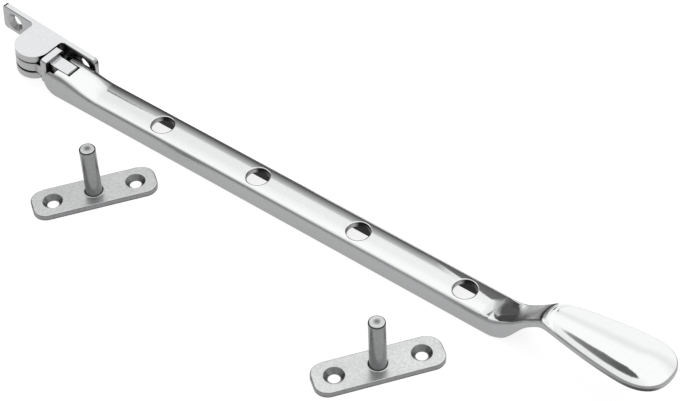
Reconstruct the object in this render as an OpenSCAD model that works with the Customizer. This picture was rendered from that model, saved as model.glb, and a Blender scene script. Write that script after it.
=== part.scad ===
// Casement stay: a pressed arm with peg holes and a raised spoon handle,
// hinged to a small sash bracket, with the two peg plates it drops over.
// Millimetres. +X runs along the arm from the bracket to the spoon, +Y points
// towards the sash, +Z is up. Everything lies on the plane z = 0.

/* [Arm] */
// Distance from one peg hole to the next
hole_pitch = 50; // [45:0.5:60]
// Number of peg holes
hole_count = 4; // [2:1:5]
// Diameter of a peg hole
hole_d = 9.2; // [7.6:0.1:9.6]
// Radius of the turned-in edge of a peg hole
hole_lip = 0.7; // [0.4:0.05:0.9]
// Width of the arm
arm_w = 15; // [14:0.1:17]
// Height of the arm along its straight part
arm_h = 8.1; // [7:0.1:9.5]
// Thickness of the pressed sheet
sheet = 1.5; // [1.2:0.05:1.7]
// Outside radius where the top turns down into the walls
edge_r = 2; // [1.8:0.1:2.6]

/* [Pivot end of the arm] */
// Distance from the first peg hole back to the lift rivet
rivet_back = 54; // [50:0.5:70]
// Radius of the rounded ears about the lift rivet
ear_r = 5.85; // [5.6:0.05:6.1]
// Height of the arm at the ears
ear_h = 11.4; // [11:0.1:12]
// Length over which the top rises to the ears
ear_ramp = 21; // [16:0.5:26]
// Distance from the rivet to the closed end of the slot
slot_reach = 5.8; // [5.6:0.05:6.4]

/* [Handle] */
// Distance from the last peg hole to the start of the neck
neck_after = 15; // [12:0.5:20]
// Width of the neck
neck_w = 10.3; // [8:0.1:11]
// Height the handle is raised above the arm
handle_rise = 13.3; // [8:0.1:16]
// Length over which the handle rises
rise_len = 25.5; // [24:0.5:30]
// Length of the gentle bend that starts the rise
rise_start = 11.5; // [8:0.5:13]
// Length of the tight bend that ends the rise
rise_end = 5; // [3:0.5:8]
// Distance from the start of the neck to the tip
handle_len = 73.2; // [68:0.2:85]
// Width of the spoon where it leaves the neck
spoon_root_w = 14.9; // [13:0.1:17]
// Greatest width of the spoon
spoon_w = 23.8; // [19:0.1:26]
// Length of the rounded tip beyond the greatest width
tip_len = 14.2; // [11:0.1:16]
// Depth of the wall along the neck
neck_h = 3.6; // [2.4:0.1:4.5]
// Depth of the rim along the spoon
rim_h = 2.4; // [2.2:0.1:3.5]
// Slope of the domed top at the spoon's edge, in degrees
dome_slope = 24; // [10:1:32]
// Radius of the curved edge where the dome begins
dome_nose_r = 6.5; // [5:0.1:12]
// Length over which the dome steps up there
dome_step = 2.6; // [1.5:0.1:6]

/* [Sash bracket] */
// Length of the plate
plate_len = 53; // [48:0.5:64]
// Thickness of the plate
plate_t = 2.4; // [2.2:0.1:3]
// Height of the bracket
bracket_h = 12.7; // [11.8:0.1:13.2]
// Distance between the two screw holes
plate_pitch = 39; // [35:0.5:44]
// Radius of the lugs and the eye about the swivel pin
nose_r = 8; // [7.5:0.1:8.1]
// Height of one lug
lug_h = 3.7; // [3:0.1:3.9]
// Diameter of the swivel pin
swivel_d = 5; // [4:0.1:6]
// Height of the bracket's middle above the lift rivet
bracket_up = 1.15; // [1.15:0.05:1.4]

/* [Knuckle] */
// Distance from the swivel pin to the lift rivet
link_len = 17.8; // [17.4:0.1:20]
// Room between the knuckle and each ear
knuckle_gap = 0.6; // [0.3:0.05:1]
// Width of the tongue in the arm's slot
tongue_w = 5.9; // [5:0.1:6.2]
// Room between the tongue and each side of its slot
slot_gap = 0.45; // [0.15:0.05:0.6]
// Radius of the fillet where the tongue leaves the web
tongue_root_r = 1.3; // [0.5:0.1:1.5]
// Radius of the web's corners
web_corner = 1; // [0.5:0.1:2]
// Diameter of the lift rivet
rivet_d = 4; // [3:0.1:4.4]
// Angle between the knuckle and the arm as they lie
lie_angle = 5.5; // [0:0.5:8]

/* [Peg plates] */
// Length of a peg plate
base_len = 50.3; // [46:0.1:60]
// Width of a peg plate
base_w = 15.2; // [14:0.1:18]
// Thickness of a peg plate
base_t = 2.4; // [2.2:0.1:3]
// Distance between the two screw holes of a peg plate
base_pitch = 33.5; // [30:0.1:36]
// Diameter of a peg
peg_d = 6.6; // [5.5:0.1:7]
// Height of a peg above its plate
peg_h = 23.4; // [15:0.1:27]

/* [Screw holes] */
// Diameter of every screw hole
screw_d = 4.7; // [4.2:0.1:5.2]
// Diameter of the countersinks of the sash bracket
bracket_sink_d = 8.7; // [7.5:0.1:8.8]
// Diameter of the countersinks of the peg plates
base_sink_d = 8.1; // [7:0.1:8.4]

/* [Hidden] */
$fn = 96;
eps = 0.01;
run = 0.05;              // running clearance of a hinge, all round
last_hole = hole_pitch * (hole_count - 1);
rivet_x = -rivet_back;
rivet_z = ear_r;
ramp_x1 = rivet_x + 1;
ramp_x0 = ramp_x1 + ear_ramp;
ear_edge_r = edge_r + 1.2;
inner_w = arm_w - 2 * sheet;
flange_under = ear_h - sheet - rivet_z;     // above the rivet
neck_x = last_hole + neck_after;
neck_len = 16.5;
waist_x = neck_x + neck_len;
shoulder_x = waist_x + 2;
shoulder_len = 10.5;
dome_x = shoulder_x + 1.8;
spoon_x = neck_x + rise_len + 1.5;
tip_x = neck_x + handle_len;
wide_x = tip_x - tip_len;
rim_r = 1.2;
tip_power = 2.4;
slot_w = tongue_w + 2 * slot_gap;
slot_x = rivet_x + slot_reach;
plate_y = nose_r + 0.3;
eye_h = bracket_h - 2 * lug_h - 2 * run;
web_x1 = -(ear_r + 0.15);
web_x0 = -(link_len - nose_r - 0.7);
knuckle_w = inner_w - 2 * knuckle_gap;
boss_r = flange_under - 0.3;
boss_edge = 1.2;
tongue_up = ear_h - rivet_z;
rivet_r = rivet_d / 2;
swivel_r = swivel_d / 2;
peg_r = peg_d / 2;
shank_r = peg_r - 0.9;
plate_corner = 2;
plate_edge = 0.7;
root_r = 1.5;
base_corner = 5.5;
base_edge = 0.5;
foot_r = 0.8;
base_1_x = -1.1;
base_1_y = -40.4;
base_2_x = 143;
base_2_y = -44.1;
base_1_turn = 55.6;
base_2_turn = 55.2;

// The middle of everything as it lies, which is the origin of the frame
x_min = rivet_x - plate_corner
    - (link_len + plate_len / 2 - plate_corner) * cos(lie_angle)
    - (bracket_h / 2 - plate_corner - bracket_up) * sin(lie_angle);
x_max = tip_x;
y_min = min(base_1_y - reach(base_1_turn), base_2_y - reach(base_2_turn));
y_max = max(plate_y + plate_t, spoon_w / 2);
mid_x = (x_min + x_max) / 2;
mid_y = (y_min + y_max) / 2;

// How far a turned peg plate reaches to either side in Y
function reach(a) = (base_len / 2 - base_corner) * abs(sin(a)) + (base_w / 2 - base_corner) * abs(cos(a)) + base_corner;

// A smooth step from 0 to 1
function ease(u) = u <= 0 ? 0 : u >= 1 ? 1 : u * u * (3 - 2 * u);
function clamp(u) = min(max(u, 0), 1);

// A rise from 0 to 1 over length l: a bend of length a, a straight slope, a bend of length b
function rise(x, l, a, b) =
    let(k = 1 / (l - (a + b) / 2))
    x <= 0 ? 0 : x >= l ? 1
        : x < a ? k * x * x / (2 * a)
        : x < l - b ? k * (x - a / 2)
        : 1 - k * (l - x) * (l - x) / (2 * b);

// The arm's half width, height of its edge, depth of its wall, edge radius and
// dome slope at x. The dome steps up on a curved edge. o is how far the surface lies
// inside the outer one.
function half(x, o) = arm_w / 2
    + (neck_w - arm_w) / 2 * ease((x - neck_x) / neck_len)
    + (spoon_root_w - neck_w) / 2 * ease((x - shoulder_x) / shoulder_len)
    + (spoon_w - spoon_root_w) / 2 * (1 - pow(1 - clamp((x - spoon_x) / (wide_x - spoon_x)), 1.5))
    - o;
function edge_z(x) = arm_h
    + (ear_h - arm_h) * ease((ramp_x0 - x) / ear_ramp)
    + handle_rise * rise(x - neck_x, rise_len, rise_start, rise_end);
function wall_h(x) = x < 0 ? edge_z(x)
    : arm_h + (neck_h - arm_h) * ease((x - neck_x - 6) / (neck_len - 6))
        + (rim_h - neck_h) * ease((x - shoulder_x - 2) / shoulder_len);
function radius(x) = edge_r
    + (ear_edge_r - edge_r) * ease((ramp_x0 - x) / ear_ramp)
    + (rim_r - edge_r) * ease((x - neck_x) / neck_len);
function slope(x) = dome_slope * ease((x - dome_x + 3) / 5);
function step_up(x, y) = ease((x - dome_x - y * y / (2 * dome_nose_r)) / dome_step);
function steep(x) = norm([1, (edge_z(x + 0.1) - edge_z(x - 0.1)) / 0.2]);

// The tongue's end clears the sheet's lower edge at the end of the slot
slot_under = edge_z(slot_x) - sheet * steep(slot_x) - rivet_z;
tongue_r = norm([slot_reach, slot_under]) - 0.12;

// Distance from the fan's centre to the rounded tip in direction a
function tip_reach(a, o) = 1 / pow(
    pow(abs(cos(a)) / (tip_len - o), tip_power) + pow(abs(sin(a)) / (spoon_w / 2 - o), tip_power),
    1 / tip_power);

// Height of the middle of the top
function crest_z(x) =
    let(r = radius(x), a = slope(x))
    edge_z(x) - r + r * cos(a) + tan(a) / 2 * (half(x, 0) - r + r * sin(a));

// One half of a section: [distance out, height], from the wall's foot to the middle.
// h is the half width there, n the number of steps over the top.
arc_n = 8;
function half_section(x, h, o, n) =
    let(
        r0 = radius(x),
        a = atan(tan(slope(x)) * (half(x, 0) - r0) / (h + o - r0)),
        r = o > 0 ? max(r0 - o, 0.3) : r0,
        out = h - r + r * sin(a),
        crest = crest_z(x) - o * steep(x),
        z1 = o > 0 ? crest - tan(a) / 2 * out : edge_z(x) - r + r * cos(a),
        zc = z1 - r * cos(a),
        foot = edge_z(x) - wall_h(x) - (o > 0 ? 2 : 0)
    )
    concat(
        [[h, foot]],
        [for (i = [0:arc_n]) let(p = (90 - a) * i / arc_n) [h - r + r * cos(p), zc + r * sin(p)]],
        [for (i = [1:n]) let(s = 1 - i / n) [out * s, z1 + (crest - z1) * (1 - s * s) * step_up(x, out * s)]]
    );

// Stations from the ears to the straight part, and from there to the widest part
// of the spoon, where the sections fan out round the tip
ear_stations = concat([rivet_x - ear_r - 2], [for (i = [0:8]) ramp_x1 + ear_ramp * i / 8]);
handle_stations = concat(
    [for (i = [0:13]) neck_x + (dome_x - 1 - neck_x) * i / 14],
    [for (i = [0:11]) dome_x - 1 + 8 * i / 12],
    [for (i = [0:9]) dome_x + 7 + (wide_x - dome_x - 7) * i / 9]
);
fan_n = 14;
dome_n = 9;

// The points of row k, running from the near foot over the top to the far foot
function row(at, k, o, n) =
    let(
        fan = k - len(at) + 1,
        t = fan > 0 ? 90 * fan / fan_n : 0,
        x = fan > 0 ? wide_x : at[k],
        h = fan > 0 ? tip_reach(90 - t, o) : half(x, o),
        s = half_section(x, h, o, n),
        dx = sin(t),
        dy = cos(t)
    )
    concat(
        [for (p = s) [x + dx * p[0], -dy * p[0], p[1]]],
        [for (i = [len(s) - 2:-1:0]) [x + dx * s[i][0], dy * s[i][0], s[i][1]]]
    );

function tri(a, b, c) = a == b || b == c || a == c ? [] : [[a, b, c]];
function quad(a, b, c, d) = concat(tri(a, b, c), tri(a, c, d));

// A solid through the stations, o inside the arm's surface, with n steps over
// half the top. The rows of a fan share their middle point, and its last row is
// folded shut.
module skin(stations, fan_rows, o, n) {
    rows = len(stations) + fan_rows;
    half_n = arc_n + n + 2;
    row_n = 2 * half_n - 1;
    fold = fan_rows > 0 ? rows - 1 : rows;
    function at(k, j) =
        let(
            j1 = k == fold ? min(j, row_n - 1 - j) : j,
            k1 = j1 == half_n - 1 ? min(k, len(stations) - 1) : k
        )
        k1 * row_n + j1;
    points = [for (k = [0:rows - 1]) each row(stations, k, o, n)];
    sides = [for (k = [0:rows - 2]) for (j = [0:row_n - 2])
        each quad(at(k, j), at(k, j + 1), at(k + 1, j + 1), at(k + 1, j))];
    foot = [for (k = [0:rows - 2])
        each quad(at(k, 0), at(k + 1, 0), at(k + 1, row_n - 1), at(k, row_n - 1))];
    start = [[for (j = [row_n - 1:-1:0]) at(0, j)]];
    finish = fan_rows > 0 ? [] : [[for (j = [0:row_n - 1]) at(rows - 1, j)]];
    polyhedron(points, concat(sides, foot, start, finish));
}

// The straight part: the same section, extruded
module straight(o) {
    s = half_section(ramp_x0, half(ramp_x0, o), o, 1);
    n = len(s) - 2;
    translate([ramp_x0, 0, 0])
        rotate([90, 0, 90])
            linear_extrude(neck_x - ramp_x0)
                polygon(concat([for (i = [0:n]) s[i]], [for (i = [n:-1:0]) [-s[i][0], s[i][1]]]));
}

// Moves a piece drawn from the first peg hole into the shared frame
module on_bench() {
    translate([-mid_x, -mid_y, 0])
        children();
}

// Moves a piece drawn about the lift rivet to where it lies
module at_rivet() {
    on_bench()
        translate([rivet_x, 0, rivet_z])
            rotate([0, lie_angle, 0])
                children();
}

module round_rect(l, w, r) {
    square([l - 2 * r, w], center = true);
    square([l, w - 2 * r], center = true);
    for (x = [-1, 1], y = [-1, 1])
        translate([x * (l / 2 - r), y * (w / 2 - r)])
            circle(r);
}

// A plate on z = 0 with round corners r and a rounded upper edge e
module soft_plate(l, w, t, r, e) {
    linear_extrude(t - e)
        round_rect(l, w, r);
    linear_extrude(t)
        round_rect(l - 2 * e, w - 2 * e, r - e);
    for (x = [-1, 1], y = [-1, 1])
        translate([x * (l / 2 - r), y * (w / 2 - r), t - e])
            rotate_extrude()
                intersection() {
                    translate([r - e, 0])
                        circle(e);
                    translate([r - e - eps, -e])
                        square([e + 2 * eps, 2 * e]);
                }
    for (y = [-1, 1])
        translate([0, y * (w / 2 - e), t - e])
            rotate([0, 90, 0])
                cylinder(h = l - 2 * r, r = e, center = true);
    for (x = [-1, 1])
        translate([x * (l / 2 - e), 0, t - e])
            rotate([90, 0, 0])
                cylinder(h = w - 2 * r, r = e, center = true);
}

// A countersunk screw hole through a plate on z = 0
module screw_hole(t, sink_d) {
    translate([0, 0, -1])
        cylinder(h = t + 2, d = screw_d);
    translate([0, 0, t - (sink_d - screw_d) / 2])
        cylinder(h = (sink_d - screw_d) / 2 + 0.2, d1 = screw_d, d2 = sink_d + 0.4);
}

// What a peg hole takes out of the top, with the turned-in edge
module peg_hole_cut() {
    translate([0, 0, arm_h - sheet - 2])
        cylinder(h = sheet + 4, d = hole_d);
    translate([0, 0, arm_h - hole_lip])
        rotate_extrude()
            difference() {
                square([hole_d / 2 + hole_lip, hole_lip + 1]);
                translate([hole_d / 2 + hole_lip, 0])
                    circle(hole_lip);
            }
}

// The turned-in edge under a peg hole
module peg_hole_lip() {
    translate([0, 0, arm_h - sheet - hole_lip])
        rotate_extrude()
            translate([hole_d / 2, 0])
                square([0.8, hole_lip + 0.3]);
}

module stay_arm() {
    color("silver")
        on_bench() {
            difference() {
                union() {
                    skin(ear_stations, 0, 0, 1);
                    straight(0);
                    skin(handle_stations, fan_n, 0, dome_n);
                }
                skin(ear_stations, 0, sheet, 1);
                straight(sheet);
                skin(handle_stations, fan_n, sheet, dome_n);
                // the round ends of the ears
                translate([rivet_x, 0, rivet_z])
                    difference() {
                        translate([-ear_r - 5, -arm_w, -ear_r - 5])
                            cube([ear_r + 5, 2 * arm_w, 2 * ear_r + 10]);
                        rotate([90, 0, 0])
                            cylinder(h = 3 * arm_w, r = ear_r, center = true);
                    }
                // the slot for the tongue, and the top cut back between the ears
                translate([rivet_x - ear_r - 5, -slot_w / 2, rivet_z])
                    cube([ear_r + 5 + slot_reach, slot_w, ear_r + 5]);
                translate([rivet_x - ear_r - 5, -inner_w / 2, rivet_z])
                    cube([ear_r + 4.5, inner_w, ear_r + 5]);
                // the rivet's holes in the ears
                translate([rivet_x, 0, rivet_z])
                    rotate([90, 0, 0])
                        cylinder(h = 2 * arm_w, r = rivet_r, center = true);
                for (i = [0:hole_count - 1])
                    translate([i * hole_pitch, 0, 0])
                        peg_hole_cut();
            }
            for (i = [0:hole_count - 1])
                translate([i * hole_pitch, 0, 0])
                    peg_hole_lip();
        }
}

// The rivet is fast in the ears, its ends ground flush
module lift_rivet() {
    color("gainsboro")
        on_bench()
            translate([rivet_x, 0, rivet_z])
                rotate([90, 0, 0])
                    cylinder(h = arm_w, r = rivet_r, center = true);
}

// Eye between the lugs, upright web, and a tongue on the lift rivet
module knuckle() {
    color("silver")
        at_rivet()
            difference() {
                union() {
                    translate([-link_len, 0, bracket_up - eye_h / 2])
                        cylinder(h = eye_h, r = nose_r);
                    translate([-link_len, -knuckle_w / 2, bracket_up - eye_h / 2])
                        cube([link_len + web_x0 + eps, knuckle_w, eye_h]);
                    translate([web_x0, 0, bracket_up])
                        rotate([90, 0, 90])
                            linear_extrude(web_x1 - web_x0)
                                round_rect(knuckle_w, bracket_h, web_corner);
                    translate([web_x1 - eps, -knuckle_w / 2 + 0.1, -boss_r + boss_edge])
                        cube([-web_x1, knuckle_w - 0.2, boss_r - boss_edge - 0.5]);
                    // the round end, its edges cut back to clear the arm's inner corners
                    rotate([90, 0, 0]) {
                        cylinder(h = knuckle_w - 2 * boss_edge, r = boss_r, center = true);
                        cylinder(h = knuckle_w - 0.2, r = boss_r - boss_edge + 0.1, center = true);
                        for (s = [-1, 1])
                            mirror([0, 0, s < 0 ? 1 : 0])
                                translate([0, 0, knuckle_w / 2 - boss_edge])
                                    cylinder(h = boss_edge - 0.1, r1 = boss_r, r2 = boss_r - boss_edge + 0.1);
                    }
                    // the tongue, its end round about the rivet, with a fillet up to the web
                    rotate([90, 0, 0])
                        linear_extrude(tongue_w, center = true) {
                            intersection() {
                                circle(tongue_r);
                                translate([-eps, -boss_r])
                                    square([2 * tongue_r, boss_r + tongue_up]);
                            }
                            translate([web_x1 - eps, -boss_r])
                                square([-web_x1, boss_r + tongue_up]);
                            difference() {
                                translate([web_x1 - eps, tongue_up - eps])
                                    square([tongue_root_r + eps, tongue_root_r + eps]);
                                translate([web_x1 + tongue_root_r, tongue_up + tongue_root_r])
                                    circle(tongue_root_r);
                            }
                        }
                }
                translate([-link_len, 0, bracket_up])
                    cylinder(h = 2 * bracket_h, r = swivel_r + run, center = true);
                rotate([90, 0, 0])
                    cylinder(h = 2 * arm_w, r = rivet_r + run, center = true);
            }
}

module lug() {
    linear_extrude(lug_h) {
        circle(nose_r);
        translate([-nose_r, 0])
            square([2 * nose_r, plate_y + plate_t / 2]);
        // fillets where the lug meets the plate
        difference() {
            translate([-nose_r - root_r, plate_y - root_r])
                square([2 * (nose_r + root_r), root_r + plate_edge + 0.1]);
            for (s = [-1, 1])
                translate([s * (nose_r + root_r), plate_y - root_r])
                    circle(root_r);
        }
    }
}

// Plate for the sash with two lugs that carry the swivel pin
module sash_bracket() {
    color("silver")
        at_rivet()
            translate([-link_len, 0, bracket_up])
                difference() {
                    union() {
                        translate([0, plate_y + plate_t, 0])
                            rotate([90, 0, 0])
                                soft_plate(plate_len, bracket_h, plate_t, plate_corner, plate_edge);
                        for (z = [-bracket_h / 2, bracket_h / 2 - lug_h])
                            translate([0, 0, z])
                                lug();
                    }
                    cylinder(h = 2 * bracket_h, r = swivel_r, center = true);
                    for (x = [-1, 1])
                        translate([x * plate_pitch / 2, plate_y + plate_t, 0])
                            rotate([90, 0, 0])
                                screw_hole(plate_t, bracket_sink_d);
                }
}

// The pin is fast in the lugs, its ends ground flush
module swivel_pin() {
    color("gainsboro")
        at_rivet()
            translate([-link_len, 0, bracket_up])
                cylinder(h = bracket_h, r = swivel_r, center = true);
}

module on_base(x, y, turn) {
    on_bench()
        translate([x, y, 0])
            rotate([0, 0, turn])
                children();
}

module peg_plate(x, y, turn) {
    color("lightgray")
        on_base(x, y, turn)
            difference() {
                soft_plate(base_len, base_w, base_t, base_corner, base_edge);
                for (s = [-1, 1])
                    translate([s * base_pitch / 2, 0, 0])
                        screw_hole(base_t, base_sink_d);
                translate([0, 0, -1])
                    cylinder(h = base_t + 2, r = shank_r);
            }
}

// A peg: shank through the plate, filleted foot, body and slightly domed top
module peg(x, y, turn) {
    top = base_t + peg_h;
    color("darkgray")
        on_base(x, y, turn)
            rotate_extrude()
                difference() {
                    union() {
                        square([shank_r, base_t + 1]);
                        translate([0, base_t])
                            square([peg_r, peg_h - 0.8]);
                        translate([0, base_t])
                            square([peg_r + foot_r, foot_r]);
                        translate([0, base_t])
                            square([peg_r - 0.8, peg_h]);
                        translate([peg_r - 0.8, top - 0.8])
                            circle(0.8);
                    }
                    translate([peg_r + foot_r, base_t + foot_r])
                        circle(foot_r);
                    translate([-2, 0])
                        square([2, top + 1]);
                }
}

module peg_plate_1() {
    peg_plate(base_1_x, base_1_y, base_1_turn);
}

module peg_plate_2() {
    peg_plate(base_2_x, base_2_y, base_2_turn);
}

module peg_1() {
    peg(base_1_x, base_1_y, base_1_turn);
}

module peg_2() {
    peg(base_2_x, base_2_y, base_2_turn);
}

stay_arm();
lift_rivet();
knuckle();
sash_bracket();
swivel_pin();
peg_plate_1();
peg_1();
peg_plate_2();
peg_2();
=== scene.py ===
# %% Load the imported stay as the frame
import math

import bmesh
import bpy
from mathutils import Matrix, Vector


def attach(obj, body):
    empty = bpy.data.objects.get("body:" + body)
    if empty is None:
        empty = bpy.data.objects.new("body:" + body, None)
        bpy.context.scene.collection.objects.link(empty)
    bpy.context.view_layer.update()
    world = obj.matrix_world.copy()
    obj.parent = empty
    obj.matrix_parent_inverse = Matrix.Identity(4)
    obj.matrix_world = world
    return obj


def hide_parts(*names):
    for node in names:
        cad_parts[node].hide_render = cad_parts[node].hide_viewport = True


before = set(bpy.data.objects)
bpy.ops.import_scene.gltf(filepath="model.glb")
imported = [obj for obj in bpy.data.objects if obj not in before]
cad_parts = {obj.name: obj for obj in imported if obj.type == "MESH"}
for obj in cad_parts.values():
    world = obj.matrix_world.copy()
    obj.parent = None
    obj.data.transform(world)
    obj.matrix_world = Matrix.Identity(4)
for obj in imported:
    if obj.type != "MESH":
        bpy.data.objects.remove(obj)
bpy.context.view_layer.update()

MM = 0.001
print("CAD nodes:", ", ".join(sorted(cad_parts)))

# %% [markdown]
# # A casement stay in polished chrome
#
# A stay holds a window open. Its long pressed arm hangs on a small bracket that
# is screwed to the sash, and drops over a peg that stands up from the frame.
# Two peg plates come with it. The frame that was just loaded is the working
# model, and every piece made here takes its place, its holes and its pivots
# from it. What this script adds is what the working model can't show: the
# softened edges that catch the light, the chrome, and the studio round it.

# %% [markdown]
# ## The camera
#
# The photograph was taken from the front right and well above, with a longish
# lens. The camera's place was worked out from the four peg holes, which lie on
# one line at equal steps, and from the two plates, which lie flat. A small roll
# is left in, because the photograph has it.

# %% Camera
IMAGE_W, IMAGE_H = 680, 401
FOCAL_PX = 2034.98
SENSOR_MM = 36.0
eye = Vector((369.037, -387.042, 571.697)) * MM
look = Vector((-0.449441, 0.536450, -0.714300)).normalized()
up_hint = Vector((-0.423056, 0.576437, 0.699102))

right = look.cross(up_hint).normalized()
up = right.cross(look).normalized()
turn = Matrix((right, up, -look)).transposed().to_4x4()
bpy.ops.object.camera_add(location=eye)
camera = bpy.context.object
camera.name = "camera"
camera.matrix_world = Matrix.Translation(eye) @ turn
camera.data.sensor_width = SENSOR_MM
camera.data.lens = FOCAL_PX / IMAGE_W * SENSOR_MM
camera.data.clip_start = 0.01
bpy.context.scene.camera = camera
print(f"lens {camera.data.lens:.1f} mm for a picture {IMAGE_W} by {IMAGE_H}")
print(f"the camera is {eye.length:.2f} m from the stay")

# %% [markdown]
# ## Short ways to build a material
#
# Chrome has hardly any colour of its own. What makes it look real is how sharp
# its reflections are, and where they are less sharp: along polishing marks,
# where fingers touched it, and on edges that the buffing wheel rounded off. So
# every finish below is one metal shader whose roughness, tint and bump are
# worked out by small nodes. Wiring nodes one by one takes many lines, and a few
# helpers keep it short. All patterns read Object coordinates, in metres, so a
# noise with a scale of 1000 makes one step a millimetre.

# %% Add a node and wire it
def add_node(tree, kind, inputs=None, **settings):
    """Adds a node, sets its settings, and sets or links its inputs."""
    node = tree.nodes.new(kind)
    for name, value in settings.items():
        setattr(node, name, value)
    for name, value in (inputs or {}).items():
        if isinstance(value, bpy.types.NodeSocket):
            tree.links.new(value, node.inputs[name])
        else:
            node.inputs[name].default_value = value
    return node


def arithmetic(tree, operation, a, b=0.0):
    """One step of arithmetic in a material."""
    return add_node(tree, "ShaderNodeMath", {0: a, 1: b}, operation=operation).outputs[0]


def vector_step(tree, operation, a, b=(0, 0, 0)):
    """One step of arithmetic on vectors. Its outputs are Vector and Value."""
    return add_node(tree, "ShaderNodeVectorMath", {0: a, 1: b}, operation=operation).outputs


def axes_of(tree, vector):
    """The X, Y and Z of a vector."""
    return add_node(tree, "ShaderNodeSeparateXYZ", {"Vector": vector}).outputs


print("a material can add nodes, count with them and split a vector")


# %% Patterns, ramps and mixtures
def noise(tree, where, scale, detail, stretch=(1, 1, 1)):
    """A noise of that many steps a metre, squeezed along the piece's own axes by stretch."""
    place = add_node(tree, "ShaderNodeMapping", {"Vector": where, "Scale": stretch}).outputs["Vector"]
    inputs = {"Vector": place, "Scale": scale, "Detail": detail, "Roughness": 0.55}
    return add_node(tree, "ShaderNodeTexNoise", inputs).outputs["Fac"]


def spread(tree, value, low, high, to_low, to_high, way="LINEAR"):
    """Maps low..high of a value to to_low..to_high, cut off at both ends."""
    inputs = {"Value": value, "From Min": low, "From Max": high, "To Min": to_low, "To Max": to_high}
    return add_node(tree, "ShaderNodeMapRange", inputs, interpolation_type=way).outputs["Result"]


def mixed(tree, factor, a, b):
    """Colour a where factor is 0, b where it is 1."""
    mix = add_node(tree, "ShaderNodeMix", data_type="RGBA")
    for socket, value in zip((mix.inputs[0], mix.inputs[6], mix.inputs[7]), (factor, a, b)):
        if isinstance(value, bpy.types.NodeSocket):
            tree.links.new(value, socket)
        else:
            socket.default_value = value
    return mix.outputs[2]


print("a material can make noises, ramps and mixtures")

# %% [markdown]
# ## Where things are on the stay
#
# Some marks sit at one place only: the painted shade in the joints round the
# pivot's nose and in the corner where the spoon's top steps up, and the pits in
# the pegs' ends. Their places are measured on the working solids, or from the
# arm's tip, so that they sit where those solids have them.

# %% The two pins of the pivot
def pin_of(node, radius):
    """A pin's middle and axis, read from its working solid, and its radius."""
    points = [v.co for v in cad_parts[node].data.vertices]
    middle = sum(points, Vector()) / len(points)
    far = max(points, key=lambda p: (p - middle).length)
    ends = [p for p in points if (p - middle).dot(far - middle) > 0]
    end = sum(ends, Vector()) / len(ends)
    return middle, (end - middle).normalized(), radius


rivet_rim = pin_of("lift_rivet", 2.0 * MM)
swivel_rim = pin_of("swivel_pin", 2.5 * MM)
print("the lift rivet runs along", [round(c, 3) for c in rivet_rim[1]])
print("the swivel pin runs along", [round(c, 3) for c in swivel_rim[1]])

# %% The joints of the nose
EYE_R = 8.0 * MM
EYE_TOLERANCE = 0.05 * MM
SWIVEL_AT, SWIVEL_AXIS = swivel_rim[0], swivel_rim[1]
eye_points = [v.co - SWIVEL_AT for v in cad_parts["knuckle"].data.vertices]
on_eye = [p for p in eye_points if abs(p.cross(SWIVEL_AXIS).length - EYE_R) < EYE_TOLERANCE]
EYE_LOW = min(p.dot(SWIVEL_AXIS) for p in on_eye)
EYE_HIGH = max(p.dot(SWIVEL_AXIS) for p in on_eye)
print(f"the joints are {EYE_LOW / MM:.2f} and {EYE_HIGH / MM:.2f} mm along the swivel pin")

# %% The arm's centre line, neck and dome
arm_points = [v.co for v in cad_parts["stay_arm"].data.vertices]
ARM_TIP = max(p.x for p in arm_points)
ARM_Y = (min(p.y for p in arm_points) + max(p.y for p in arm_points)) / 2
DOME_X = ARM_TIP - 52.9 * MM
DOME_NOSE_R = 6.5 * MM
NECK_X = ARM_TIP - 73.2 * MM
print(f"the arm's centre line is at y = {ARM_Y / MM:.2f} mm")
print(f"its neck starts at x = {NECK_X / MM:.1f} mm and its dome at x = {DOME_X / MM:.1f} mm")

# %% The pegs' axes
PEG_AXES = []
for n in ("1", "2"):
    points = [v.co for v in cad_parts["peg_" + n].data.vertices]
    middle = sum(points, Vector()) / len(points)
    PEG_AXES.append((middle.x, middle.y))
print("the pegs stand at", [(round(x / MM, 1), round(y / MM, 1)) for x, y in PEG_AXES], "mm")

# %% [markdown]
# ## The colours of the plating
#
# The set has one plating and several surfaces. The tops of the arm, knuckle and
# bracket were buffed to a mirror. Their flanks are rougher, and their much darker
# grey is painted shade. The darker sides of the peg plates and the pegs are
# painted shade in the same way, and so is the near black inside the channel of
# the arm. The peg plates were tumbled and not buffed, so their tops look satin and
# a little cloudy. The pegs were turned.

# %% Colours
MIRROR = (0.91, 0.915, 0.92, 1.0)
BUFFED = (0.84, 0.845, 0.855, 1.0)
# The colour of the flanks is painted shade.
FLANK_SHADE = (0.385, 0.387, 0.392, 1.0)
# Painted shade: a near black for the channel's inside, the joints, the corner before the dome and the pegs'
# rims.
SHADE_DARK = (0.014, 0.014, 0.015, 1.0)
SATIN = (0.83, 0.835, 0.84, 1)
# The colour of the plates' sides is painted shade.
TUMBLED_SHADE = (0.25, 0.252, 0.256, 1)
TURNED = (0.76, 0.765, 0.77, 1)
# The colour of the pegs' sides is painted shade, and it also colours the pits.
TURNED_SHADE_AND_PIT = (0.25, 0.252, 0.255, 1)
print("a mirror top reflects", MIRROR[0], "and a flank", FLANK_SHADE[0])

# %% [markdown]
# ## Painted shade in the joints of the nose
#
# Two lugs of the bracket hold the eye of the knuckle between them. The shade in
# the two joints is painted as dark lines round the nose. The pieces turn about
# the pin that the lines run round, so the lines can be a band at a height along
# the pin's axis, and stay in place when the stay swings.

# %% Painted shade lines round the nose
SEAM_HALF = 0.65 * MM
SEAM_CORE = 0.6
SEAM_SHADE = 0.85
SEAM_FADE_FROM = EYE_R + 0.4 * MM
SEAM_FADE_TO = EYE_R + 2.0 * MM


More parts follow.
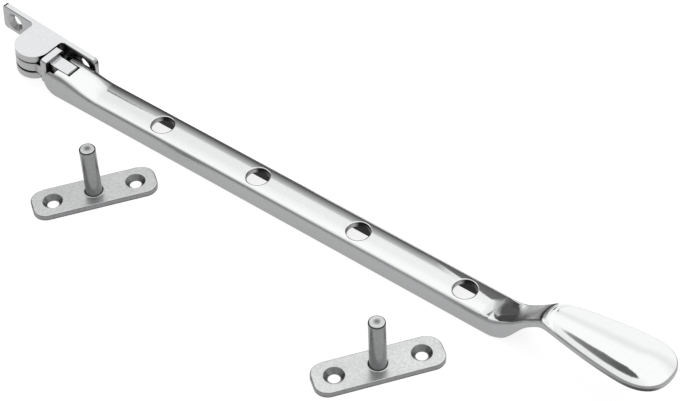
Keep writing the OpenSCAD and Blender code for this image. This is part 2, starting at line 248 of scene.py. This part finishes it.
def nose_seam_shade(tree, where):
    """The two lines of painted shade round the nose, where the lugs meet the eye."""
    out = vector_step(tree, "SUBTRACT", where, SWIVEL_AT)["Vector"]
    along = vector_step(tree, "DOT_PRODUCT", out, SWIVEL_AXIS)["Value"]
    aside = vector_step(tree, "CROSS_PRODUCT", out, SWIVEL_AXIS)["Vector"]
    radius = vector_step(tree, "LENGTH", aside)["Value"]
    off_low = arithmetic(tree, "ABSOLUTE", arithmetic(tree, "SUBTRACT", along, EYE_LOW))
    off_high = arithmetic(tree, "ABSOLUTE", arithmetic(tree, "SUBTRACT", along, EYE_HIGH))
    off = arithmetic(tree, "MINIMUM", off_low, off_high)
    line = spread(tree, off, SEAM_HALF * SEAM_CORE, SEAM_HALF, SEAM_SHADE, 0.0)
    near = spread(tree, radius, SEAM_FADE_FROM, SEAM_FADE_TO, 1.0, 0.0)
    return arithmetic(tree, "MULTIPLY", line, near)


print(f"each line is {2 * SEAM_HALF / MM:.1f} mm wide")

# %% [markdown]
# ## The ends of the pegs
#
# A peg is turned between centres. The centre leaves a small dull pit in the
# middle of its end. Where the end meets the side, a dark rim is painted shade.
# Both are colour here: the pit by its distance from the nearer peg's axis, and
# the rim by the way the rounded edge faces.

# %% Pits and rims
PIT_R = 1.2 * MM
RIM_SHADE = 0.8
END_FACES = (0.8, 0.9)
RIM_FROM = (0.15, 0.35)
RIM_TO = (0.75, 0.9)


def end_pit(tree, where, facing):
    """The small dull pit that the lathe's centre leaves in the end of each peg."""
    at = axes_of(tree, where)
    nearest = 1.0
    for x, y in PEG_AXES:
        along = arithmetic(tree, "POWER", arithmetic(tree, "SUBTRACT", at["X"], x), 2.0)
        across = arithmetic(tree, "POWER", arithmetic(tree, "SUBTRACT", at["Y"], y), 2.0)
        nearest = arithmetic(tree, "MINIMUM", nearest, arithmetic(tree, "ADD", along, across))
    pit = spread(tree, arithmetic(tree, "SQRT", nearest), PIT_R * 0.5, PIT_R * 1.5, 1.0, 0.0)
    return arithmetic(tree, "MULTIPLY", pit, spread(tree, facing["Z"], *END_FACES, 0.0, 1.0))


def end_rim_shade(tree, facing):
    """Painted shade: a dark rim round the end of each peg, where its edge is rounded."""
    rim_up = spread(tree, facing["Z"], *RIM_FROM, 0.0, RIM_SHADE)
    rim_down = spread(tree, facing["Z"], *RIM_TO, RIM_SHADE, 0.0)
    return arithmetic(tree, "MINIMUM", rim_up, rim_down)


print(f"each pit is about {2 * PIT_R / MM:.1f} mm wide")

# %% [markdown]
# ## The soft forms of the arm's top
#
# A pressed strip is never quite flat. The arm's top is crowned: it falls away
# towards its two long edges, the neck more than the rest. The bend into the neck
# starts gently, and the top of the spoon steps up over a rounded corner. Seen
# from above, mostly the reflections show these forms. So the last softness of
# each is made as bump: a height in metres at each point, from which the shader
# works out the tilt. A mirror needs the tilt smooth, and a formula gives it
# without any facets.

# %% Sizes of the soft forms
CROWN_FROM = 1.2 * MM
CROWN_WIDTH = 4.8 * MM
CROWN_SLOPE = math.tan(math.radians(7.5))
CROWN_END = 4 * MM
NECK_HALF = 5.15 * MM
NECK_SLOPE = math.tan(math.radians(19))
NECK_IN = 8 * MM
NECK_OUT_FROM = 6 * MM
NECK_OUT_TO = 2 * MM
BEND_BEFORE = 4 * MM
BEND_AFTER = 8 * MM
BEND_RISE = 1.45 * MM
STEP_LEN = 2.8 * MM
STEP_RISE = 2.1 * MM
EASE_LEN = 1.9 * MM
EASE_RISE = 0.5 * MM
edge_fall = CROWN_SLOPE / 2 * CROWN_WIDTH
print(f"the arm's top falls {edge_fall / MM:.2f} mm towards each edge")


# %% Height of the arm's top
def past_corner(tree, where):
    """How far a point lies beyond the curved corner where the dome begins, in metres."""
    at = axes_of(tree, where)
    side = arithmetic(tree, "SUBTRACT", at["Y"], ARM_Y)
    bow = arithmetic(tree, "MULTIPLY", arithmetic(tree, "MULTIPLY", side, side), 0.5 / DOME_NOSE_R)
    return arithmetic(tree, "SUBTRACT", arithmetic(tree, "SUBTRACT", at["X"], DOME_X), bow)


def crown(tree, where):
    """How high the soft forms lift or lower the arm's top, in metres."""
    at = axes_of(tree, where)
    side = arithmetic(tree, "ABSOLUTE", arithmetic(tree, "SUBTRACT", at["Y"], ARM_Y))
    past = arithmetic(tree, "MAXIMUM", arithmetic(tree, "SUBTRACT", side, CROWN_FROM), 0.0)
    fall = arithmetic(tree, "POWER", past, 2.0)
    fall = arithmetic(tree, "MULTIPLY", fall, -CROWN_SLOPE / 2 / CROWN_WIDTH)
    straight = spread(tree, at["X"], NECK_X - CROWN_END, NECK_X, 1.0, 0.0)
    fall = arithmetic(tree, "MULTIPLY", fall, straight)

    neck_fall = arithmetic(tree, "POWER", side, 2.0)
    neck_fall = arithmetic(tree, "MULTIPLY", neck_fall, -NECK_SLOPE / 2 / NECK_HALF)
    neck_in = spread(tree, at["X"], NECK_X, NECK_X + NECK_IN, 0.0, 1.0)
    neck_out = spread(tree, at["X"], DOME_X - NECK_OUT_FROM, DOME_X - NECK_OUT_TO, 1.0, 0.0)
    neck_fall = arithmetic(tree, "MULTIPLY", neck_fall, arithmetic(tree, "MINIMUM", neck_in, neck_out))

    bend = spread(tree, at["X"], NECK_X - BEND_BEFORE, NECK_X + BEND_AFTER, 0.0, BEND_RISE, "SMOOTHSTEP")
    ahead = past_corner(tree, where)
    step = spread(tree, ahead, 0.0, STEP_LEN, 0.0, -STEP_RISE)
    ease = spread(tree, ahead, STEP_LEN, STEP_LEN + EASE_LEN, 0.0, -EASE_RISE)
    before_dome = arithmetic(tree, "ADD", arithmetic(tree, "ADD", fall, neck_fall), bend)
    return arithmetic(tree, "ADD", before_dome, arithmetic(tree, "ADD", step, ease))


print(f"the bend is brought forward by {BEND_BEFORE / MM:.0f} mm")

# %% [markdown]
# ## The tints and painted shade of the arm
#
# The arm is one piece with several surfaces on it. What faces its own centre
# line, or the floor, is the inside of the channel, and its near black is painted
# shade. The step up to the dome was buffed like the dome, so it keeps the dome's
# bright colour and none of the flanks' painted shade. In the corner before the
# step a dark line is painted shade.

# %% Painted shade inside and in the corner, bright step
CORNER_BACK = 0.3 * MM
CORNER_HALF = 1.0 * MM
CORNER_CORE = 0.4
CORNER_REACH = (3.5 * MM, 5.2 * MM)
STEP_START = (0.0, 0.3 * MM)
STEP_END = (4.0 * MM, 6.0 * MM)
INWARD = (-3.0 * MM, -1.5 * MM)
DOWNWARD = (-0.6, -0.3)
UPWARD = (0.5, 0.7)


def arm_tints_and_shade(tree, where, facing, base):
    """Paints shade into the inside of the channel and the corner before the dome, and
    keeps the step up to the dome as bright as the dome."""
    at = axes_of(tree, where)
    side = arithmetic(tree, "SUBTRACT", at["Y"], ARM_Y)
    inward = spread(tree, arithmetic(tree, "MULTIPLY", side, facing["Y"]), *INWARD, 1.0, 0.0)
    under = spread(tree, facing["Z"], *DOWNWARD, 1.0, 0.0)
    # Painted shade: the inside of the channel is made near black.
    base = mixed(tree, arithmetic(tree, "MAXIMUM", inward, under), base, SHADE_DARK)

    ahead = past_corner(tree, where)
    step_starts = spread(tree, ahead, *STEP_START, 0.0, 1.0)
    step_ends = spread(tree, ahead, *STEP_END, 1.0, 0.0)
    step = arithmetic(tree, "MULTIPLY", step_starts, step_ends)
    step = arithmetic(tree, "MULTIPLY", step, spread(tree, facing["Z"], *UPWARD, 0.0, 1.0))
    base = mixed(tree, step, base, MIRROR)

    # Painted shade: a dark line in the corner before the dome.
    off_line = arithmetic(tree, "ABSOLUTE", arithmetic(tree, "ADD", ahead, CORNER_BACK))
    line = spread(tree, off_line, CORNER_HALF * CORNER_CORE, CORNER_HALF, 1.0, 0.0)
    middle = spread(tree, arithmetic(tree, "ABSOLUTE", side), *CORNER_REACH, 1.0, 0.0)
    return mixed(tree, arithmetic(tree, "MULTIPLY", line, middle), base, SHADE_DARK)


print(f"the dark corner is {2 * CORNER_HALF / MM:.1f} mm wide")

# %% [markdown]
# ## One function for every finish
#
# The finishes differ in numbers and not in kind, so one function makes them all.
# It looks at which way the surface faces on the piece itself to tell a top from
# the other sides, and paints those sides darker as painted shade. Smudges make the
# top's gloss uneven, fine specks do it on the other sides, and polishing marks run
# along the arm or round the pegs. A node that measures how closed in a place is
# paints shade into the narrow joints. The parts above join in where a finish asks for them.

# %% The metal
SMUDGE_STEPS = 60
SPECK_STEPS = 900
RINGS_ROUND_Z = (1, 1, 22)
MARKS_ALONG_X = (1, 14, 14)
TOP_FACES = (0.76, 0.9)
UNEVEN = (0.35, 0.7)
CLOUDED = (0.38, 0.64)
POLISHED = (0.45, 0.75)
MARKS_ROUGH = 0.03
MARKS_SHOW = 0.5


def metal(name, tint, gloss, flank_shade, flank_gloss, cloud=0.03, marks=0.01 * MM,
          shade_reach=0.0, shade_span=(0.55, 0.93), seam_shade=False, rings=False, arm=False):
    """A plated finish. tint and gloss are the top's colour and its least and greatest
    roughness, flank and flank_gloss the same for all other sides; that darker colour is
    painted shade. cloud says how far the colour varies, marks how deep the bump is in
    metres, joint how far the painted shade of closed-in places reaches in metres, shut how
    closed in a place is where that painted shade is darkest and where it ends. seams adds
    the painted shade lines of the nose. rings turns the marks round the Z axis and finishes
    the pegs' ends with dull pits and rims of painted shade. arm adds the arm's own forms,
    tints and painted shade."""
    material = bpy.data.materials.new(name)
    material.use_nodes = True
    tree = material.node_tree
    shader = tree.nodes["Principled BSDF"]
    shader.inputs["Metallic"].default_value = 1.0
    place = add_node(tree, "ShaderNodeTexCoord").outputs
    where = place["Object"]
    facing = axes_of(tree, place["Normal"])
    top = spread(tree, facing["Z"], *TOP_FACES, 0.0, 1.0)

    smudge = noise(tree, where, SMUDGE_STEPS, 4)
    speck = noise(tree, where, SPECK_STEPS, 3)
    polish = noise(tree, where, SPECK_STEPS, 2, RINGS_ROUND_Z if rings else MARKS_ALONG_X)
    both = {
        "Factor": top,
        "A": spread(tree, speck, *UNEVEN, *flank_gloss),
        "B": spread(tree, smudge, *UNEVEN, *gloss),
    }
    rough = add_node(tree, "ShaderNodeMix", both, data_type="FLOAT").outputs[0]
    rough = arithmetic(tree, "ADD", rough, spread(tree, polish, *POLISHED, 0.0, MARKS_ROUGH))

    # The darker colour of the sides is painted shade.
    base = mixed(tree, top, flank_shade, tint)
    cloudy = spread(tree, speck, *CLOUDED, 1.0, 1.0 - cloud)
    base = add_node(tree, "ShaderNodeVectorMath", {0: base, "Scale": cloudy}, operation="SCALE").outputs[0]
    # Painted shade: an occlusion node darkens closed-in places such as the joints.
    if shade_reach:
        closed = add_node(tree, "ShaderNodeAmbientOcclusion", {"Distance": shade_reach}, samples=12).outputs["AO"]
        base = mixed(tree, spread(tree, closed, *shade_span, 1.0, 0.0), base, SHADE_DARK)
    # Painted shade: the lines round the nose.
    if seam_shade:
        base = mixed(tree, nose_seam_shade(tree, where), base, SHADE_DARK)
    # The pits get the dull colour of the pegs' sides, and the rims get painted shade.
    if rings:
        base = mixed(tree, end_pit(tree, where, facing), base, TURNED_SHADE_AND_PIT)
        base = mixed(tree, end_rim_shade(tree, facing), base, SHADE_DARK)
    if arm:
        base = arm_tints_and_shade(tree, where, facing, base)
    tree.links.new(base, shader.inputs["Base Color"])
    tree.links.new(rough, shader.inputs["Roughness"])

    relief = {"Strength": MARKS_SHOW, "Distance": marks, "Height": mixed(tree, 0.5, polish, speck)}
    bump = add_node(tree, "ShaderNodeBump", relief).outputs["Normal"]
    if arm:
        relief = {"Strength": 1.0, "Distance": 1.0, "Height": crown(tree, where), "Normal": bump}
        bump = add_node(tree, "ShaderNodeBump", relief).outputs["Normal"]
    tree.links.new(bump, shader.inputs["Normal"])
    return material


print("one function makes every finish")

# %% The five finishes
arm_chrome = metal(
    "arm_chrome", MIRROR, (0.05, 0.09), FLANK_SHADE, (0.34, 0.42),
    cloud=0.02, marks=0.004 * MM, arm=True)
pivot_chrome = metal(
    "pivot_chrome", BUFFED, (0.08, 0.14), FLANK_SHADE, (0.26, 0.34),
    cloud=0.04, shade_reach=2.0 * MM, shade_span=(0.7, 0.95), seam_shade=True)
pin_chrome = metal("pin_chrome", BUFFED, (0.08, 0.14), FLANK_SHADE, (0.34, 0.42))
plate_chrome = metal(
    "peg_plate_chrome", SATIN, (0.24, 0.36), TUMBLED_SHADE, (0.3, 0.4),
    cloud=0.14, shade_reach=0.9 * MM)
peg_chrome = metal(
    "peg_chrome", TURNED, (0.2, 0.3), TURNED_SHADE_AND_PIT, (0.2, 0.3),
    cloud=0.1, shade_reach=0.9 * MM, rings=True)
print("finishes:", [m.name for m in bpy.data.materials if m.name.endswith("chrome")])

# %% [markdown]
# ## From working model to finished piece
#
# A working solid has knife-sharp edges and flat facets. Real pressed and cast
# metal has neither: every edge is broken by a few tenths of a millimetre, and
# that small round is what draws the bright lines in a photograph. So each solid
# is copied, its loose triangles are merged, its flat faces are joined, the edges
# get a narrow bevel, and the shading is smoothed everywhere but at real corners.
# Shading that leans towards the larger faces keeps flat tops flat next to their
# narrow bevels, which a mirror would otherwise give away.

# %% Wider edges beside the joints of the nose
JOINT_REACH = 5.5 * MM
JOINT_EDGE = 1.0 * MM
SAME_PLACE = 0.05 * MM
SAME_HEIGHT = 0.02 * MM


def open_joint(piece, point, axis, radius):
    """Widens the joints round the swivel pin: bevels the rims of that radius between its ends."""
    bpy.ops.mesh.select_mode(type="EDGE")
    bpy.ops.mesh.select_all(action="DESELECT")
    mesh = bmesh.from_edit_mesh(piece.data)
    for edge in mesh.edges:
        out = [abs((v.co - point).cross(axis).length - radius) for v in edge.verts]
        along = [abs((v.co - point).dot(axis)) for v in edge.verts]
        level = abs(along[0] - along[1]) < SAME_HEIGHT
        on_rim = max(out) < SAME_PLACE and max(along) < JOINT_REACH
        if on_rim and level and edge.calc_face_angle(0.0) > 1.0:
            edge.select = True
    bmesh.update_edit_mesh(piece.data)
    bpy.ops.mesh.bevel(offset=JOINT_EDGE, segments=2, clamp_overlap=True)


print(f"rims within {JOINT_REACH / MM:.1f} mm of the pin's middle get {JOINT_EDGE / MM:.1f} mm")


# %% Broken edges
def break_edges(piece, edge_mm, pins):
    """Bevels every sharp edge but the rims of the pins, given as (point, axis, radius)."""
    bpy.ops.mesh.select_mode(type="EDGE")
    bpy.ops.mesh.select_all(action="DESELECT")
    bpy.ops.mesh.edges_select_sharp(sharpness=math.radians(40))
    mesh = bmesh.from_edit_mesh(piece.data)
    for point, axis, radius in pins:
        for edge in mesh.edges:
            out = [abs((v.co - point).cross(axis).length - radius) for v in edge.verts]
            if max(out) < SAME_PLACE:
                edge.select = False
    bmesh.update_edit_mesh(piece.data)
    bpy.ops.mesh.bevel(offset=edge_mm * MM, segments=2, clamp_overlap=True)


print("edges turning by more than 40 degrees are broken")


# %% A finished copy of a working solid
def finish_piece(node, body, material, edge_mm,
                 smooth_deg=32, flat_deg=0.4, pins=(), nose=None):
    """A copy of a CAD node with merged faces, broken edges and smooth shading."""
    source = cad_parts[node]
    bpy.ops.object.select_all(action="DESELECT")
    piece = bpy.data.objects.new(node + "_finished", source.data.copy())
    bpy.context.scene.collection.objects.link(piece)
    bpy.context.view_layer.objects.active = piece
    piece.select_set(True)
    bpy.ops.object.mode_set(mode="EDIT")
    bpy.ops.mesh.select_all(action="SELECT")
    bpy.ops.mesh.customdata_custom_splitnormals_clear()
    bpy.ops.mesh.remove_doubles(threshold=1e-6)
    bpy.ops.mesh.dissolve_limited(angle_limit=math.radians(flat_deg), use_dissolve_boundaries=False)
    if nose:
        open_joint(piece, *nose)
    if edge_mm:
        break_edges(piece, edge_mm, pins)
    bpy.ops.object.mode_set(mode="OBJECT")
    bpy.ops.object.shade_smooth_by_angle(angle=math.radians(smooth_deg))
    weigh = piece.modifiers.new("even_shading", "WEIGHTED_NORMAL")
    weigh.keep_sharp = True
    weigh.weight = 50
    bpy.ops.object.modifier_apply(modifier=weigh.name)
    piece.data.materials.clear()
    piece.data.materials.append(material)
    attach(piece, body)
    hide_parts(node)
    print(f"{piece.name}: {len(piece.data.polygons)} faces")


# %% [markdown]
# ## The arm
#
# The arm is pressed from one strip of sheet. Its working solid is already the
# true form, with many narrow faces that follow its curves. Only faces that lie
# in one plane are joined, so that no curve turns into a facet, and the edges
# get the small round that the press leaves. The rivet's rim in the ears is left
# sharp, because the rivet is ground flush and plated over with the ears.

# %% The arm and its rivet
finish_piece(
    "stay_arm", "stay", arm_chrome, 0.12,
    smooth_deg=30, flat_deg=0.02, pins=[rivet_rim])
finish_piece("lift_rivet", "stay", pin_chrome, 0)

# %% [markdown]
# ## The pivot
#
# The knuckle and the bracket are castings, and their edges are rounder. Beside
# the two joints of the nose the rims are wider still, and so the three layers
# show as separate rings. The swivel pin is ground flush with the upper lug and
# can't be told from it in the photograph, so its rim stays sharp.

# %% The knuckle, the bracket and the swivel pin
nose = (SWIVEL_AT, SWIVEL_AXIS, EYE_R)
finish_piece("knuckle", "knuckle", pivot_chrome, 0.3, nose=nose)
finish_piece(
    "sash_bracket", "bracket", pivot_chrome, 0.3,
    pins=[swivel_rim], nose=nose)
finish_piece("swivel_pin", "bracket", pin_chrome, 0)

# %% [markdown]
# ## The peg plates and their pegs
#
# The two plates are alike, and so are the pegs. The plates were cast and then
# tumbled, which leaves a fine even edge. The ends of the pegs are rounded a
# little more, as a lathe tool leaves them.

# %% Two plates with a peg each
for n in ("1", "2"):
    finish_piece("peg_plate_" + n, "stay", plate_chrome, 0.12)
    finish_piece("peg_" + n, "stay", peg_chrome, 0.25)

# %% [markdown]
# ## The floor
#
# The photograph's ground is white, with only the softest shadows. The floor is
# a plain cloth that takes shadows as cloth does. It also glows, but only to the
# camera and in the metal: so it looks white in both, and doesn't throw light up
# against the flanks.

# %% Floor
FLOOR_SIZE = 6.0
FLOOR_UNDER = 0.02 * MM
FLOOR_GREY = 0.24
FLOOR_GLOW = 0.86
bpy.ops.object.select_all(action="DESELECT")
bpy.ops.mesh.primitive_plane_add(size=FLOOR_SIZE, location=(0, 0, -FLOOR_UNDER))
floor = bpy.context.object
floor.name = "floor"
cloth = bpy.data.materials.new("white_cloth")
cloth.use_nodes = True
tree = cloth.node_tree
weave = tree.nodes["Principled BSDF"]
weave.inputs["Base Color"].default_value = (FLOOR_GREY, FLOOR_GREY, FLOOR_GREY, 1)
weave.inputs["Roughness"].default_value = 0.9
weave.inputs["Specular IOR Level"].default_value = 0.0
path = add_node(tree, "ShaderNodeLightPath").outputs
seen = arithmetic(tree, "MAXIMUM", path["Is Camera Ray"], path["Is Glossy Ray"])
seen = arithmetic(tree, "MAXIMUM", seen, path["Is Transmission Ray"])
lift = arithmetic(tree, "MULTIPLY", seen, FLOOR_GLOW)
glow = add_node(tree, "ShaderNodeEmission", {"Strength": lift})
both = add_node(tree, "ShaderNodeAddShader", {0: weave.outputs[0], 1: glow.outputs[0]})
tree.links.new(both.outputs[0], tree.nodes["Material Output"].inputs["Surface"])
floor.data.materials.append(cloth)
print("floor", FLOOR_SIZE, "m")

# %% [markdown]
# ## The light
#
# Polished metal is a picture of the room, so the room's brightness is set by
# direction. It is white all round, a little brighter straight overhead and near
# the horizon, and dimmer in front, where the near edges look. One broad soft
# light stands behind and above. Reflections don't see it: it only throws the
# shadows, and the room alone decides what the chrome shows.

# %% World
SKY_LEVEL = 0.90
SKY_TOP = 1.06
LOW_SKY = 0.12
FRONT_DIM = 0.28
world = bpy.data.worlds.new("white_room")
bpy.context.scene.world = world
world.use_nodes = True
sky = world.node_tree
aim = axes_of(sky, add_node(sky, "ShaderNodeTexCoord").outputs["Generated"])
overhead = spread(sky, aim["Z"], 0.70, 0.81, SKY_LEVEL, SKY_TOP)
low_down = spread(sky, aim["Z"], 0.50, 0.66, LOW_SKY, 0.0)
in_front = spread(sky, aim["Y"], -0.35, 0.1, FRONT_DIM, 0.0)
level = arithmetic(sky, "SUBTRACT", arithmetic(sky, "ADD", overhead, low_down), in_front)
sky.links.new(level, sky.nodes["Background"].inputs["Strength"])
sky.nodes["Background"].inputs["Color"].default_value = (1, 1, 1, 1)
bpy.context.scene.view_settings.view_transform = "Standard"
print("the room is", SKY_LEVEL, "bright at the sides and", SKY_TOP, "overhead")

# %% The soft light
SOFT_AT = Vector((-0.8, 0.95, 1.3))
SOFT_SIZE = (1.8, 1.5)
SOFT_LEVEL = 1.02
bpy.ops.object.light_add(type="AREA", location=SOFT_AT)
lamp = bpy.context.object
lamp.name = "overhead"
lamp.data.shape = "RECTANGLE"
lamp.data.size, lamp.data.size_y = SOFT_SIZE
lamp.data.energy = SOFT_LEVEL * math.pi * SOFT_SIZE[0] * SOFT_SIZE[1]
lamp.rotation_euler = (-SOFT_AT).to_track_quat("-Z", "Y").to_euler()
lamp.visible_glossy = False
print(f"the soft light is {lamp.data.energy:.1f} W at {SOFT_AT.length:.2f} m")

# %% [markdown]
# ## The black cards
#
# A photographer of metal sets up black cards just out of sight. Each dark edge
# on the chrome is one of them, mirrored. The top of the arm mirrors the white
# room and is nearly white. Its rounded far edge, the bend of the neck, the streak
# along the spoon and the near edges mirror a card each. A card here is seen only
# in reflections, throws no shadow, and may be painted from one grey to another.
# Near cards are flat shapes given in millimetres. The far ones are given by the
# directions that they cover, as angles round the stay and above the floor.

# %% How a card is made
CARD_FAR = 2.5
LYING_Z = 0.3


def card(name, corners, shades, axis="Z", span=(0.0, 1.0)):
    """A flat dark card through the corners, in metres, seen only in reflections. It is painted
    from shades[0] at span[0] along the axis to shades[1] at span[1]."""
    paper = bpy.data.materials.new(name)
    paper.use_nodes = True
    tree = paper.node_tree
    tree.nodes.remove(tree.nodes["Principled BSDF"])
    at = axes_of(tree, add_node(tree, "ShaderNodeTexCoord").outputs["Object"])
    glow = add_node(tree, "ShaderNodeEmission", {"Strength": spread(tree, at[axis], *span, *shades)})
    tree.links.new(glow.outputs[0], tree.nodes["Material Output"].inputs["Surface"])
    bpy.ops.object.select_all(action="DESELECT")
    bpy.ops.mesh.primitive_circle_add(vertices=len(corners), radius=0.1, fill_type="NGON")
    piece = bpy.context.object
    piece.name = name
    for vertex, corner in zip(piece.data.vertices, corners):
        vertex.co = Vector(corner)
    piece.data.materials.append(paper)
    piece.visible_camera = False
    piece.visible_diffuse = False
    piece.visible_shadow = False
    print(f"{name}: {len(corners)} corners, {shades[0]} to {shades[1]} bright")


def standing(y, corners):
    """Corners of an upright card at that y, given as (x, z), all in millimetres."""
    return [(x * MM, y * MM, z * MM) for x, z in corners]


def lying(corners, z=LYING_Z):
    """Corners of a level card at that z, given as (x, y), all in millimetres."""
    return [(x * MM, y * MM, z * MM) for x, y in corners]


def towards(azimuth, elevation):
    """A point far off in a direction given in degrees, azimuth from +X to +Y."""
    a, e = math.radians(azimuth), math.radians(elevation)
    return Vector((math.cos(e) * math.cos(a), math.cos(e) * math.sin(a), math.sin(e))) * CARD_FAR


# %% [markdown]
# The arm's far edge is dark at its outermost line and gets lighter inwards, and
# its card is painted the same way, dark low down and lighter towards its top.
# The end of that edge lies so near the spoon that a far card would darken both,
# so a small one stands close behind it. On the floor behind the arm lie two
# strips for the outermost line.

# %% Cards for the arm's far edge
BACK = (
    (-560, 5), (-52, 5), (-60, 60), (-86, 154), (-110, 228),
    (-137, 290), (-172, 445), (-560, 445))
END = ((22, 8), (68, 8), (68, 99), (47, 99), (38, 84), (22, 66))
card("back_card", standing(400, BACK), (0.09, 0.74), span=(0.3, 0.48))
card("end_card", standing(100, END), (0.06, 0.16), span=(0.02, 0.08))

# %% [markdown]
# The neck bends upwards, so its top looks towards the left and sweeps over the
# horizon. Above the horizon it mirrors two far cards, and below it a large card
# on the floor, light near the stay and dark further off. The near edge of the
# arm mirrors a card that stands in front, at the left.

# %% Cards for the neck and the near edge
NECK = ((150, 0), (150, 39.5), (134.8, 39.5), (134.8, 36), (128, 25), (120, 16), (118, 0))
LEFT = ((150, 0), (205, 0), (205, 40), (150, 39.5))
NEAR = ((-0.56, -0.52, 0.01), (-0.23, -0.52, 0.01), (-0.23, -0.44, 0.64), (-0.56, -0.44, 0.64))
card("neck_card", [towards(a, e) for a, e in NECK], (0.125, 0.125))
card("left_card", [towards(a, e) for a, e in LEFT], (0.06, 0.06))
card("front_card", NEAR, (0.12, 0.55), "X", (-0.56, -0.3))

# %% Cards on the floor
STRIP = ((-560, 44), (-10, 44), (-10, 74), (-560, 74))
EDGE = ((-10, 40), (92, 40), (92, 52), (-10, 52))
GROUND = ((-2400, 74), (110, 74), (110, 1700), (-2400, 1700))
card("strip_card", lying(STRIP), (0.06, 0.06))
card("edge_card", lying(EDGE), (0.06, 0.06))
card("floor_card", lying(GROUND), (0.04, 0.62), "X", (-0.095, -0.038))

# %% [markdown]
# The spoon's top is domed, and one long dark streak runs along its near side.
# It is the picture of a card that hangs half a metre above the stay. The dome
# squeezes the card's outline together, so the card is a wide rounded shape. A
# small card on the floor beside the tip darkens the rim there.

# %% Cards for the spoon
TIP = ((125, -45), (205, -45), (205, 20), (125, 20))
SPOON_Z = 500
SPOON = (
    (-118, 38), (-102, 5), (-62, -18), (0, -26), (60, -17), (104, 6),
    (122, 24), (92, 40), (44, 55), (0, 66), (-50, 80), (-92, 72))
card("spoon_card", lying(SPOON, SPOON_Z), (0.26, 0.11), "X", (-0.11, -0.02))
card("tip_card", lying(TIP), (0.9, 0.15), "X", (0.125, 0.155))
